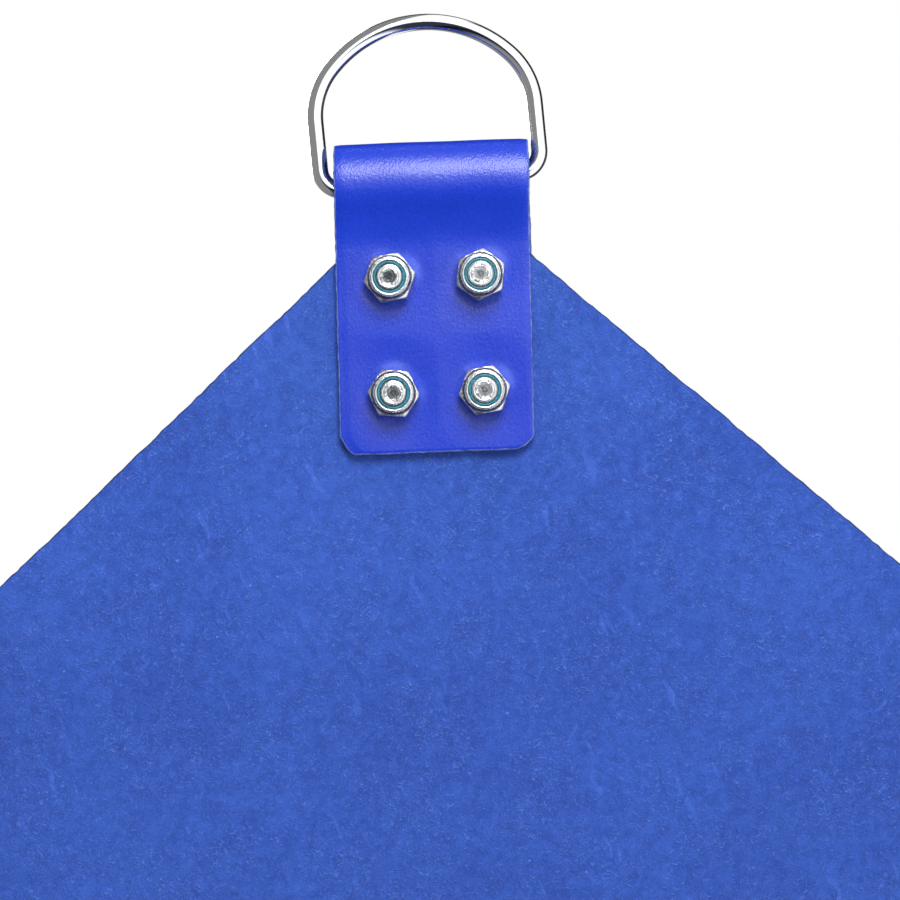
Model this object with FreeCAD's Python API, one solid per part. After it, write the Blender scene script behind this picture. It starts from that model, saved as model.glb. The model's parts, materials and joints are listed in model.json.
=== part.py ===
import FreeCAD, Part
import math
import os

# Welding apron: one heavy leather panel with a pointed bib. A D-ring hangs from a folded and bolted
# leather tab at the point of the bib, and one more at each side of the waist.
# Millimetres, +Z up. The front of the apron, where the nuts are, faces -Y. The wearer is at +Y.
# The origin is on the bar of the neck ring, in the middle of its length.

# Panel, as it is cut from the hide
panel_leather = 2.5
panel_width = 609.6
panel_length = 914.4
bib_slope = 42.0
bib_top_width = 26.4
waist_corner_radius = 20.0
hem_corner_radius = 40.0

# Panel, as it hangs: the sides turn back round the wearer by side_turn degrees, and soft flutes
# start below the waist tabs and grow towards the hem
side_turn = 11.0
bow_margin = 5.0
flute_depth = 5.5
flute_length = 205.0
flute_shift = 24.0
flute_unevenness = 0.35
flute_start = 130.0
flute_growth = 230.0

# Hanger: a leather strap folded over the bar of its D-ring and bolted through the panel
tab_leather = 3.0
tab_width = 47.5
tab_length = 76.2
tab_clip_width = 3.8
tab_clip_height = 3.8
tab_clip_radius = 3.0
loop_side_gap = 2.4
loop_top_gap = 4.9
loop_top_radius = 4.9
loop_side_radius = 13.0
loop_neck_radius = 30.0
bar_to_panel = 9.1
waist_tab_drop = 38.0

# D-ring, bent from round wire
ring_wire = 4.0
ring_side_gap = 1.25
ring_reach = 37.3
ring_leg = 17.1
ring_corner_radius = 3.5
ring_shoulder_share = 0.83
ring_skew = 3.6

# Bolts, nuts and their nylon inserts. The head's recess is given as shares of its height and
# radius, and the nut's chamfered face as a share of its width across flats.
bolt_diameter = 6.35
bolt_projection = 0.375
bolt_end_chamfer = 0.6
bolt_columns = 22.0
bolt_rows = 28.0
first_bolt_drop = 33.5
thread_clearance = 0.05
hole_clearance = 0.15
head_wall = 4.1
head_height = 3.8
head_rim = 0.6
recess_depth = 0.62
recess_reach = 0.45
recess_width = 0.13
recess_taper = 0.5
nut_wall = 2.38
nut_height = 7.9
nut_collar_height = 2.3
nut_face_share = 0.96
insert_wall = 1.1
insert_clearance = 0.03
collar_wall = 0.8
collar_lip = 0.5
lip_thickness = 0.45
fastener_sink = 0.45
sink_clearance = 0.3
nut_turns = {"neck": (8, 23, -6, 9), "left": (-9, 17, 4, 26), "right": (14, -2, 21, 7)}
head_turns = {"neck": (31, 74, 12, 55), "left": (68, 5, 40, 22), "right": (17, 49, 83, 28)}

V = FreeCAD.Vector
wire_radius = ring_wire / 2
bolt_radius = bolt_diameter / 2
stack = panel_leather + 2 * tab_leather
bar_drop = tab_leather + loop_top_gap + wire_radius
tab_bottom = bar_drop - tab_length
side_angle = math.radians(side_turn)
slope_angle = math.radians(bib_slope)


def polar(radius, degrees):
    angle = math.radians(degrees)
    return radius * math.cos(angle), radius * math.sin(angle)


def smooth(low, high, value):
    """Rises smoothly from 0 at low to 1 at high."""
    share = min(max((value - low) / (high - low), 0.0), 1.0)
    return share * share * (3 - 2 * share)


def rounded_prism(corners, reach):
    """Prism from y = -reach to y = reach, whose outline has corners (x, z, radius)."""
    edges = []
    stretches = []
    count = len(corners)
    for index, (x, z, radius) in enumerate(corners):
        here = V(x, -reach, z)
        before = V(corners[index - 1][0], -reach, corners[index - 1][1]) - here
        after = V(corners[(index + 1) % count][0], -reach, corners[(index + 1) % count][1]) - here
        before.normalize()
        after.normalize()
        half_angle = before.getAngle(after) / 2
        tangent = radius / math.tan(half_angle)
        middle = before + after
        middle.normalize()
        top = here + middle * (radius / math.sin(half_angle) - radius)
        stretches.append((here + before * tangent, top, here + after * tangent, radius))
    for index, (start, top, end, radius) in enumerate(stretches):
        following = stretches[(index + 1) % count][0]
        if radius > 0:
            edges.append(Part.Arc(start, top, end).toShape())
        edges.append(Part.LineSegment(end, following).toShape())
    return Part.Face(Part.Wire(edges)).extrude(V(0, 2 * reach, 0))


def revolved(corners):
    """Solid turned about Z from (radius, height) corners."""
    points = [V(radius, 0, height) for radius, height in corners]
    face = Part.Face(Part.makePolygon(points + points[:1]))
    return face.revolve(V(0, 0, 0), V(0, 0, 1), 360)


def facing_front(shape, x, z, y):
    """Turns a piece made along +Z to point to -Y, and puts its base at (x, y, z)."""
    shape.rotate(V(0, 0, 0), V(1, 0, 0), 90)
    shape.translate(V(x, y, z))
    return shape


# Leather tab. Its loop is arcs about the strap's middle line: a round top, flatter sides and a
# hollow neck that brings the two legs together on the panel.

def loop_half(offset):
    """Arcs of one half of the loop, from the top down: (centre y, centre z, radius, from, to)."""
    leg = (panel_leather + tab_leather) / 2
    widest = wire_radius + loop_side_gap + tab_leather / 2
    top_z = bar_drop - tab_leather / 2 - loop_top_radius
    shift = loop_side_radius - loop_top_radius
    shoulder = math.degrees(math.acos((loop_side_radius - widest) / shift))
    side_y = widest - loop_side_radius
    side_z = top_z - polar(shift, shoulder)[1]
    radii = loop_side_radius + loop_neck_radius
    neck = math.degrees(math.acos((leg + loop_neck_radius - side_y) / radii))
    neck_y, neck_z = polar(radii, -neck)
    return [
        (0, top_z, loop_top_radius + offset, 90, shoulder),
        (side_y, side_z, loop_side_radius + offset, shoulder, -neck),
        (side_y + neck_y, side_z + neck_z, loop_neck_radius - offset, 180 - neck, 180),
    ]


def loop_path(offset):
    """Edges of the folded strap at an offset from its middle line, one leg and half loop in turn."""
    leg = (panel_leather + tab_leather) / 2 + offset
    edges = []
    for side in (1, -1):
        for centre_y, centre_z, radius, start, end in loop_half(offset):
            points = []
            for turn in (start, (start + end) / 2, end):
                y, z = polar(radius, turn)
                points.append(V(0, side * (centre_y + y), centre_z + z))
            edges.append(Part.Arc(*points).toShape())
        edges.append(Part.LineSegment(points[-1], V(0, side * leg, tab_bottom)).toShape())
    return edges


def folded_strap():
    half = tab_leather / 2
    legs = [(panel_leather / 2, stack / 2), (-panel_leather / 2, -stack / 2)]
    ends = [
        Part.LineSegment(V(0, inner, tab_bottom), V(0, outer, tab_bottom)).toShape()
        for inner, outer in legs
    ]
    edges = loop_path(half) + loop_path(-half) + ends
    section = Part.Face(Part.Wire(Part.__sortEdges__(edges)))
    section.translate(V(-tab_width / 2, 0, 0))
    return section.extrude(V(tab_width, 0, 0))


def bolt_places():
    """Places of the four bolts on a tab: top left, top right, bottom left, bottom right."""
    top = bar_drop - first_bolt_drop
    return [(x, z) for z in (top, top - bolt_rows) for x in (-bolt_columns / 2, bolt_columns / 2)]


def bolt_holes():
    radius = bolt_radius + hole_clearance
    deep = 4 * stack
    return [facing_front(Part.makeCylinder(radius, deep), x, z, deep / 2) for x, z in bolt_places()]


def make_tab():
    """Folded strap with its lower corners clipped off, the clips' own corners slightly rounded."""
    half = tab_width / 2
    above_fold = bar_drop + tab_leather
    corners = [
        (-half, tab_bottom + tab_clip_height, tab_clip_radius),
        (tab_clip_width - half, tab_bottom, tab_clip_radius),
        (half - tab_clip_width, tab_bottom, tab_clip_radius),
        (half, tab_bottom + tab_clip_height, tab_clip_radius),
        (half, above_fold, 0),
        (-half, above_fold, 0),
    ]
    tab = folded_strap().common(rounded_prism(corners, 2 * stack))
    nut_seat = nut_corner_radius() + sink_clearance
    head_seat = bolt_radius + head_wall + sink_clearance
    cuts = bolt_holes()
    for x, z in bolt_places():
        front = fastener_sink - stack / 2
        cuts.append(facing_front(Part.makeCylinder(nut_seat, stack), x, z, front))
        back = stack / 2 - fastener_sink + stack
        cuts.append(facing_front(Part.makeCylinder(head_seat, stack), x, z, back))
    return tab.cut(cuts)


# Fasteners. The truss heads sit at the back and the nuts at the front, each pressed a little into
# the leather.

def nut_corner_radius():
    return (bolt_radius + nut_wall) / math.cos(math.radians(30))


def insert_radius():
    return bolt_radius + thread_clearance + insert_wall


def make_bolt(turn):
    head_radius = bolt_radius + head_wall
    length = stack - 2 * fastener_sink + nut_height + bolt_projection
    dome = head_height - head_rim
    dome_radius = (head_radius**2 + dome**2) / (2 * dome)
    cap = Part.makeSphere(dome_radius, V(0, 0, dome_radius - head_height))
    head = Part.makeCylinder(head_radius, head_height, V(0, 0, -head_height)).common(cap)
    shank = revolved([
        (0, -head_rim),
        (bolt_radius, -head_rim),
        (bolt_radius, length - bolt_end_chamfer),
        (bolt_radius - bolt_end_chamfer, length),
        (0, length),
    ])
    dimple = Part.makeCone(0, bolt_radius / 3, bolt_end_chamfer, V(0, 0, length - bolt_end_chamfer))
    bolt = head.fuse(shank).cut([dimple] + cross_recess(head_radius))
    bolt.rotate(V(0, 0, 0), V(0, 0, 1), turn)
    return bolt.removeSplitter()


def cross_recess(head_radius):
    """Two tapered slots across the top of the head, which make its cross recess."""
    floor = (recess_depth - 1) * head_height
    slots = []
    for turn in (0, 90):
        rims = []
        for level, share in ((-head_height, 1.0), (floor, recess_taper)):
            half_long = recess_reach * head_radius * share
            half_wide = recess_width * head_radius * share
            corners = [(-half_long, -half_wide), (half_long, -half_wide),
                       (half_long, half_wide), (-half_long, half_wide)]
            points = [V(a, b, level) for a, b in corners]
            rims.append(Part.makePolygon(points + points[:1]))
        slot = Part.makeLoft(rims, True)
        slot.rotate(V(0, 0, 0), V(0, 0, 1), turn)
        slots.append(slot)
    return slots


def make_nut(turn):
    flat = bolt_radius + nut_wall
    corner = nut_corner_radius()
    hex_height = nut_height - nut_collar_height
    collar = insert_radius() + collar_wall
    rim = nut_face_share * flat
    chamfer = (corner - rim) * math.tan(math.radians(30))
    points = [V(*polar(corner, turn + 60 * side), 0) for side in range(6)]
    prism = Part.Face(Part.makePolygon(points + points[:1])).extrude(V(0, 0, hex_height))
    body = prism.common(revolved([
        (0, 0), (rim, 0), (corner, chamfer), (corner, hex_height - chamfer), (rim, hex_height),
        (0, hex_height),
    ]))
    crimp = revolved([
        (0, hex_height - chamfer), (rim, hex_height - chamfer / 2), (collar, hex_height + chamfer),
        (collar, nut_height - 2 * lip_thickness),
        (collar - lip_thickness / 2, nut_height - lip_thickness),
        (collar - 2 * lip_thickness, nut_height), (0, nut_height),
    ])
    hollow = revolved([
        (0, -1), (bolt_radius + thread_clearance, -1), (bolt_radius + thread_clearance, hex_height),
        (insert_radius(), hex_height), (insert_radius(), nut_height - lip_thickness),
        (insert_radius() - collar_lip, nut_height - lip_thickness),
        (insert_radius() - collar_lip, nut_height + 1), (0, nut_height + 1),
    ])
    return body.fuse(crimp).cut(hollow)


def make_insert():
    base = nut_height - nut_collar_height
    shoulder = nut_height - lip_thickness - insert_clearance
    inner = bolt_radius + thread_clearance
    outer = insert_radius() - insert_clearance
    top = nut_height - lip_thickness / 3
    return revolved([
        (inner, base), (outer, base), (outer, shoulder), (outer - collar_lip, shoulder),
        (outer - collar_lip - lip_thickness / 3, top), (inner, top),
    ])


# D-ring: a straight bar, two short legs and a three-centred arch.

def make_ring():
    half = tab_width / 2 + ring_side_gap + wire_radius
    crown = ring_reach + wire_radius
    bend = ring_corner_radius + wire_radius
    rise = crown - ring_leg
    shoulder = ring_shoulder_share * rise
    arch = ((half - shoulder) ** 2 + rise**2 - shoulder**2) / (2 * (rise - shoulder))
    meet = math.degrees(math.atan2(arch - rise, half - shoulder))
    arcs = [
        (half - bend, bend, bend, -90, 0),
        (half - shoulder, ring_leg, shoulder, 0, meet),
        (0, crown - arch, arch, meet, 180 - meet),
        (shoulder - half, ring_leg, shoulder, 180 - meet, 180),
        (bend - half, bend, bend, 180, 270),
    ]
    edges = []
    starts = []
    for centre_x, centre_z, radius, first, last in arcs:
        points = []
        for turn in (first, (first + last) / 2, last):
            x, z = polar(radius, turn)
            points.append(V(centre_x + x, 0, centre_z + z))
        if starts and starts[-1].distanceToPoint(points[0]) > 1e-6:
            edges.append(Part.LineSegment(starts[-1], points[0]).toShape())
        edges.append(Part.Arc(*points).toShape())
        starts.append(points[-1])
    edges.append(Part.LineSegment(starts[-1], V(half - bend, 0, 0)).toShape())
    section = Part.Wire(Part.makeCircle(wire_radius, V(0, 0, 0), V(1, 0, 0)))
    path = Part.Wire([edges[-1]] + edges[:-1])
    section.translate(path.Vertexes[0].Point)
    ring = path.makePipeShell([section], True, False)
    ring.rotate(V(0, 0, 0), V(0, -1, 0), ring_skew)
    return ring


# Panel surface: depth(x, z) is how far its middle lies behind the hanger's middle plane.

tab_on_panel = tab_length - bar_drop - bar_to_panel
flat_side = tab_on_panel + bow_margin
turn_slope = math.tan(side_angle)
bow_stretch = (math.sqrt(1 + turn_slope**2) + math.asinh(turn_slope) / turn_slope) / 2
bow_half = (panel_width / 2 - flat_side) / bow_stretch
side_x = bow_half + flat_side * math.cos(side_angle)
panel_top = -bar_to_panel
panel_hem = panel_top - panel_length
waist_z = panel_top - (side_x - bib_top_width / 2) * math.tan(slope_angle)
waist_tab_z = waist_z - waist_tab_drop
bow_top = tab_bottom - bow_margin
bow_full = waist_tab_z + tab_width / 2 + bow_margin
flute_top = waist_tab_z - flute_start


def depth(x, z):
    reach = abs(x)
    bow = turn_slope * reach**2 / (2 * bow_half)
    if reach > bow_half:
        bow = turn_slope * (reach - bow_half / 2)
    flutes = math.cos(2 * math.pi * (x - flute_shift) / flute_length)
    flutes += flute_unevenness * math.sin(math.pi * x / flute_length)
    grown = smooth(flute_top, panel_hem - flute_growth, z)
    return bow * smooth(bow_top, bow_full, z) + flute_depth * flutes * grown


def make_panel():
    margin = 15.0
    columns = 81
    rows = 97
    grid = []
    for column in range(columns):
        x = (2 * column / (columns - 1) - 1) * (side_x + margin)
        line = []
        for row in range(rows):
            z = panel_top + margin - row / (rows - 1) * (panel_length + 2 * margin)
            line.append(V(x, depth(x, z) - panel_leather / 2, z))
        grid.append(line)
    surface = Part.BSplineSurface()
    surface.interpolate(grid)
    slab = surface.toShape().extrude(V(0, panel_leather, 0))
    corners = [
        (-bib_top_width / 2, panel_top, 0),
        (-side_x, waist_z, waist_corner_radius),
        (-side_x, panel_hem, hem_corner_radius),
        (side_x, panel_hem, hem_corner_radius),
        (side_x, waist_z, waist_corner_radius),
        (bib_top_width / 2, panel_top, 0),
    ]
    panel = slab.common(rounded_prism(corners, panel_width))
    cuts = []
    for place in hanger_places().values():
        for hole in bolt_holes():
            hole.Placement = place.multiply(hole.Placement)
            cuts.append(hole)
    return panel.cut(cuts)


def hanger_places():
    """Where each hanger's own frame goes: its Z points from the panel out to the ring's crown."""
    c = math.cos(side_angle)
    s = math.sin(side_angle)
    bar_x = side_x + bar_to_panel * c
    bar_y = depth(side_x, waist_tab_z) + bar_to_panel * s
    right = FreeCAD.Matrix(0, -s, c, bar_x, 0, c, s, bar_y, -1, 0, 0, waist_tab_z, 0, 0, 0, 1)
    left = FreeCAD.Matrix(0, s, -c, -bar_x, 0, c, s, bar_y, 1, 0, 0, waist_tab_z, 0, 0, 0, 1)
    return {
        "neck": FreeCAD.Placement(),
        "left": FreeCAD.Placement(left),
        "right": FreeCAD.Placement(right),
    }


def make_hanger(side):
    """Every piece of one hanger in its own frame. The waist rings droop, so they skew downwards."""
    ring = make_ring()
    if side == "right":
        ring.rotate(V(0, 0, 0), V(0, 0, 1), 180)
    pieces = {"tab": make_tab(), "ring": ring}
    nut_base = fastener_sink - stack / 2
    head_base = stack / 2 - fastener_sink
    for number, (x, z) in enumerate(bolt_places()):
        label = number + 1
        bolt = make_bolt(head_turns[side][number])
        nut = make_nut(nut_turns[side][number])
        pieces[f"bolt_{label}"] = facing_front(bolt, x, z, head_base)
        pieces[f"nut_{label}"] = facing_front(nut, x, z, nut_base)
        pieces[f"insert_{label}"] = facing_front(make_insert(), x, z, nut_base)
    return pieces


def build():
    nodes = {"apron_panel": make_panel()}
    for side, place in hanger_places().items():
        for piece, shape in make_hanger(side).items():
            shape.Placement = place.multiply(shape.Placement)
            nodes[f"{side}_{piece}"] = shape
    return nodes


def export(nodes):
    os.makedirs("parts", exist_ok=True)
    for name, shape in nodes.items():
        shape.exportStep(f"parts/{name}.step")
        print(f"{name:18s} {shape.Volume / 1000:9.3f} cm3  {len(shape.Solids)} solid")


if __name__ == "__main__":
    export(build())
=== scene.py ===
# %% [markdown]
# # A leather welding apron
#
# The apron is one heavy hide panel with a pointed bib. A folded leather strap is bolted through the
# point and through each side of the waist, and each strap carries a D-ring. This lesson builds the
# visible surfaces round a finished mechanical model, the frame, which already holds every size. The
# first cell loads the frame, and a helper reads the box of any of its parts. The surfaces must fill
# the same.

# %% Load the frame
import json
import math
import bmesh
import bpy
import numpy as np
from mathutils import Matrix, Vector


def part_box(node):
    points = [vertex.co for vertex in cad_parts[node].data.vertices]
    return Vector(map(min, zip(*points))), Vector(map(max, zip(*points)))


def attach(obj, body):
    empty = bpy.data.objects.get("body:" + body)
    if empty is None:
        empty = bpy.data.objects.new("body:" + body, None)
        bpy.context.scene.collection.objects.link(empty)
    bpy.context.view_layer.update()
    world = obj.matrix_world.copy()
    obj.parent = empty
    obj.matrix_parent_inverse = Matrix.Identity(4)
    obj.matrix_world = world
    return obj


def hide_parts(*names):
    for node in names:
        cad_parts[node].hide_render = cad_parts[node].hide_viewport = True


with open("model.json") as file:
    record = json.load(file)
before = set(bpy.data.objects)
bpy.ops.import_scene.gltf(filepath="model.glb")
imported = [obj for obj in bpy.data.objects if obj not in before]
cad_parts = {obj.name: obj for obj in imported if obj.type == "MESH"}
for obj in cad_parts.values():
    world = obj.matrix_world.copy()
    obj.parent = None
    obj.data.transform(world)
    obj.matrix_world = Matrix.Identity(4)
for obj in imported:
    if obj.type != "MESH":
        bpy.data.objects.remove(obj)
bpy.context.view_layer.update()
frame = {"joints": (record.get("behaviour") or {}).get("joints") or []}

# %% [markdown]
# Blender works in metres, and leather and bolts are easier to think of in millimetres, so sizes are
# written as a number times `mm`. Where the frame knows a size, it is read from the frame: the panel's
# width and drop and the strap's width from its boxes, and the hangers' places from its joints. The
# rest are the same driving sizes that the frame was drawn with.

# %% Sizes that every piece shares
mm = 0.001
panel_low, panel_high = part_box("apron_panel")
tab_low, tab_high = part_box("neck_tab")
hide_thickness = 2.5 * mm
strap_thickness = 3.0 * mm
strap_width = tab_high.x - tab_low.x
strap_end = tab_low.z
strap_top = tab_high.z
side_turn = math.radians(11)
hangers = ("neck", "left", "right")


def hanger_place(side):
    """Matrix of a hanger's own frame: X along the ring's bar, Y to the back, Z out to the ring."""
    joint = next(j for j in frame["joints"] if j["name"] == f"{side}_ring_swing")
    c, s = math.cos(side_turn), math.sin(side_turn)
    axes = {
        "neck": ((1, 0, 0), (0, 1, 0), (0, 0, 1)),
        "left": ((0, 0, 1), (s, c, 0), (-c, s, 0)),
        "right": ((0, 0, -1), (-s, c, 0), (c, s, 0)),
    }[side]
    turn = Matrix(axes).transposed().to_4x4()
    return Matrix.Translation(joint["pos_m"]) @ turn


places = {side: hanger_place(side) for side in hangers}
for side in hangers:
    print(side, "bar at", [round(v, 4) for v in places[side].translation])

# %% [markdown]
# ## Camera
#
# A long lens stands close to the bib, level with the middle of what it looks at. It leans two
# degrees, so that the hanging apron looks a little turned, as a thing hung by hand does.

# %% Camera
lens = 100.0
camera_distance = 613 * mm
camera_aim = Vector((2.15 * mm, 0, -65.8 * mm))
camera_lean = math.radians(2)
camera_data = bpy.data.cameras.new("camera")
camera_data.lens = lens
camera_data.clip_start = 0.01
camera = bpy.data.objects.new("camera", camera_data)
right_hand = Vector((math.cos(camera_lean), 0, -math.sin(camera_lean)))
upwards = Vector((math.sin(camera_lean), 0, math.cos(camera_lean)))
backwards = Vector((0, -1, 0))
camera.matrix_world = Matrix((right_hand, upwards, backwards)).transposed().to_4x4()
camera.location = camera_aim + backwards * camera_distance
bpy.context.scene.collection.objects.link(camera)
bpy.context.scene.camera = camera
view_width = camera_distance * camera_data.sensor_width / lens
print(f"the camera sees {view_width / mm:.0f} mm across at the bib")

# %% [markdown]
# ## Writing shader maths as expressions
#
# A procedural finish is a sum of many soft patterns, and drawn by hand it is a maze of Math nodes.
# A small class can stand for a node's output and turn `1 - mask * 0.5` into those nodes. `Value` does
# that, and `Graph.add` is the one way in which every other node is made: its type, its settings,
# and then what goes into its sockets.

# %% The Value and Graph classes


class Value:
    """A node's output that can be used in sums."""

    def __init__(self, graph, socket):
        self.graph = graph
        self.socket = socket

    def join(self, operation, first, second):
        return self.graph.add("ShaderNodeMath", {"operation": operation}, {0: first, 1: second})

    def __add__(self, other):
        return self.join("ADD", self, other)

    def __radd__(self, other):
        return self.join("ADD", other, self)

    def __sub__(self, other):
        return self.join("SUBTRACT", self, other)

    def __rsub__(self, other):
        return self.join("SUBTRACT", other, self)

    def __mul__(self, other):
        return self.join("MULTIPLY", self, other)

    def __rmul__(self, other):
        return self.join("MULTIPLY", other, self)

    def __neg__(self):
        return self.join("MULTIPLY", self, -1.0)


class Graph:
    """A node tree, and the one way in which nodes are added to it."""

    def __init__(self, tree):
        self.tree = tree
        tree.nodes.clear()

    def add(self, kind, settings=None, sockets=None, output=0):
        node = self.tree.nodes.new(kind)
        for name, value in (settings or {}).items():
            setattr(node, name, value)
        for name, value in (sockets or {}).items():
            if isinstance(value, Value):
                self.tree.links.new(value.socket, node.inputs[name])
            else:
                node.inputs[name].default_value = value
        return Value(self, node.outputs[output]) if len(node.outputs) else node

    def rise(self, value, low, high):
        """0 below low, 1 above high, and smooth between."""
        return self.add("ShaderNodeMapRange", {"interpolation_type": "SMOOTHSTEP"},
                        {0: value, 1: low, 2: high, 3: 0.0, 4: 1.0})

    def fade(self, share, first, second):
        """Colour that goes from first to second as share goes from 0 to 1."""
        colours = {6: first, 7: second}
        for key, colour in colours.items():
            if isinstance(colour, tuple):
                colours[key] = (*colour, 1.0)
        return self.add("ShaderNodeMix", {"data_type": "RGBA"}, {0: share, **colours}, output=2)

    def shift(self, vector, amount):
        return self.add("ShaderNodeVectorMath", {"operation": "ADD"}, {0: vector, 1: amount})

    def scaled(self, vector, factor):
        return self.add("ShaderNodeVectorMath", {"operation": "SCALE"}, {0: vector, 3: factor})

    def noise(self, vector, size, detail=2.0, roughness=0.5):
        """Smooth noise whose lumps are about this many of the vector's units across."""
        return self.add("ShaderNodeTexNoise", None, {
            "Vector": vector, "Scale": 1 / size, "Detail": detail, "Roughness": roughness})

    def noise_vector(self, vector, size, reach):
        """Vector of noise, up to about reach long, to bend another pattern with."""
        cloud = self.add("ShaderNodeTexNoise", None, {
            "Vector": vector, "Scale": 1 / size, "Detail": 2.0}, output=1)
        centred = self.shift(cloud, (-0.5, -0.5, -0.5))
        return self.scaled(centred, 2 * reach)

    def cells(self, vector, size):
        """Distance to the nearest of some scattered points, which lie about size apart."""
        return self.add("ShaderNodeTexVoronoi", None, {"Vector": vector, "Scale": 1 / size})


print("node helpers are ready")

# %% [markdown]
# ## Light
#
# Pale sweep, soft light: the object hangs before a white sweep. Bare chrome shows whatever surrounds
# it, so the room matters as much as the lamps: mostly white, with a grey wall to the left, dark gaps
# behind to the right and behind high up, and a dark table below in front. The world makes that room
# from the direction that a ray leaves in, and rays that come straight from the camera see plain
# white.

# %% World
world = bpy.data.worlds.new("studio")
world.use_nodes = True
bpy.context.scene.world = world
bpy.context.scene.view_settings.view_transform = "Standard"
room = Graph(world.node_tree)
direction = room.add("ShaderNodeTexCoord", output=0)
parts = room.add("ShaderNodeSeparateXYZ", None, {0: direction})
sideways, away, height = [Value(room, output) for output in parts.socket.node.outputs]
left_wall = room.rise(away * 0.17 - sideways, 0.0, 0.06) * room.rise(away, 0.998, 0.985)
right_gap = room.rise(sideways, 0.25, 0.35) * room.rise(away, 0.0, 0.06)
right_gap = right_gap * room.rise(away, 0.965, 0.94)
table = room.rise(-height, 0.02, 0.1) * room.rise(sideways, 0.35, 0.15)
table = table * room.rise(away, 0.6, 0.4) * room.rise(sideways, -0.55, -0.25)
ceiling_gap = room.rise(height, 0.10, 0.16) * room.rise(away, 0.38, 0.5)
ceiling_gap = ceiling_gap * room.rise(away, 0.985, 0.965)
brightness = (1.0 - left_wall * 0.77) * (1.0 - right_gap * 0.95)
brightness = brightness * (1.0 - table * 0.95) * (1.0 - ceiling_gap * 0.85)
tint = room.fade(table, (1.0, 1.0, 1.0), (0.55, 0.65, 1.0))
surroundings = room.add("ShaderNodeBackground", None, {0: tint, 1: brightness * 1.08})
sweep = room.add("ShaderNodeBackground", None, {0: (1.0, 1.0, 1.0, 1.0), 1: 1.0})
seen = room.add("ShaderNodeLightPath", output=0)
both = room.add("ShaderNodeMixShader", None, {0: seen, 1: surroundings, 2: sweep})
room.add("ShaderNodeOutputWorld", None, {0: both})

print("the room has a grey wall, a dark gap, a dark table and a dark ceiling gap")

# %% [markdown]
# The big lamp stands above the camera, a little to the right, and the hanger's folded top throws it
# back as one soft band. A weak lamp fills from the front, and a wide one lights the apron's back.
# The floor is pale paper that glows softly far away, so that it meets the white sweep.

# %% Lamps and floor


def lamp(name, place, aim, size, power):
    data = bpy.data.lights.new(name, "AREA")
    data.shape = "DISK"
    data.size = size
    data.energy = power
    thing = bpy.data.objects.new(name, data)
    thing.location = place
    thing.rotation_euler = (Vector(aim) - Vector(place)).to_track_quat("-Z", "Y").to_euler()
    thing.visible_camera = False
    bpy.context.scene.collection.objects.link(thing)


lamp("key", (0.09, -0.61, 0.38), (0, 0, -0.02), 0.38, 5.6)
lamp("front", (0.6, -2.3, 0.3), (0, 0, -0.5), 1.2, 4.2)
lamp("back", (-0.9, 1.9, 0.6), (0, 0, -0.4), 1.4, 26)

floor_level = panel_low.z - 30 * mm
floor_mesh = bpy.data.meshes.new("floor")
reach = 12.0
floor_mesh.from_pydata(
    [(-reach, -reach, floor_level), (reach, -reach, floor_level),
     (reach, reach, floor_level), (-reach, reach, floor_level)], [], [(0, 1, 2, 3)])
floor = bpy.data.objects.new("floor", floor_mesh)
bpy.context.scene.collection.objects.link(floor)
floor.visible_glossy = False
paper = bpy.data.materials.new("floor_paper")
paper.use_nodes = True
graph = Graph(paper.node_tree)
where = graph.add("ShaderNodeTexCoord", output=3)
fibre = graph.noise(where, 0.004, 4.0)
distance = graph.add("ShaderNodeVectorMath", {"operation": "LENGTH"}, {0: where}, output=1)
glow = graph.fade(graph.rise(distance, 1.5, 8.0), (0.0, 0.0, 0.0), (0.62, 0.62, 0.62))
surface = graph.add("ShaderNodeBsdfPrincipled", None, {
    "Base Color": graph.fade(fibre, (0.84, 0.84, 0.84), (0.90, 0.90, 0.90)), "Roughness": 0.9,
    "Emission Color": glow, "Emission Strength": 1.0})
graph.add("ShaderNodeOutputMaterial", None, {0: surface})
floor_mesh.materials.append(paper)
print(f"floor {abs(floor_level):.3f} m below the neck ring's bar")

# %% [markdown]
# ## Leather finishes
#
# The panel is split leather: the hide's inner layer, dyed through and brushed. It has no grain side,
# so its face is a nap of short curled fibres that catch the light in flecks, with cloudy shading
# where the dye took more or less, smooth smears, and a few pale specks. Each of those is one soft
# pattern at its own size, and the finish adds them up, once for the colour and once for the bump.

# %% Split leather of the panel


def new_finish(name):
    material = bpy.data.materials.new(name)
    material.use_nodes = True
    graph = Graph(material.node_tree)
    place = graph.add("ShaderNodeTexCoord", output=3)
    return material, graph, graph.scaled(place, 1 / mm)


def finish_surface(graph, sockets, height=None):
    """Principled surface, with a bump whose height is in millimetres."""
    if height is not None:
        sockets["Normal"] = graph.add("ShaderNodeBump", None, {
            "Strength": 1.0, "Distance": mm, "Height": height})
    shader = graph.add("ShaderNodeBsdfPrincipled", None, sockets)
    graph.add("ShaderNodeOutputMaterial", None, {0: shader})


def strokes(graph, place, angle, long, wide, low, high):
    """Flecks that lie along one direction in the panel's plane."""
    turned = graph.add("ShaderNodeMapping", {"vector_type": "TEXTURE"}, {
        "Vector": place, "Rotation": (0, math.radians(angle), 0), "Scale": (long, wide, wide)})
    return graph.rise(graph.noise(turned, 1.0, 1.0), low, high)


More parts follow.
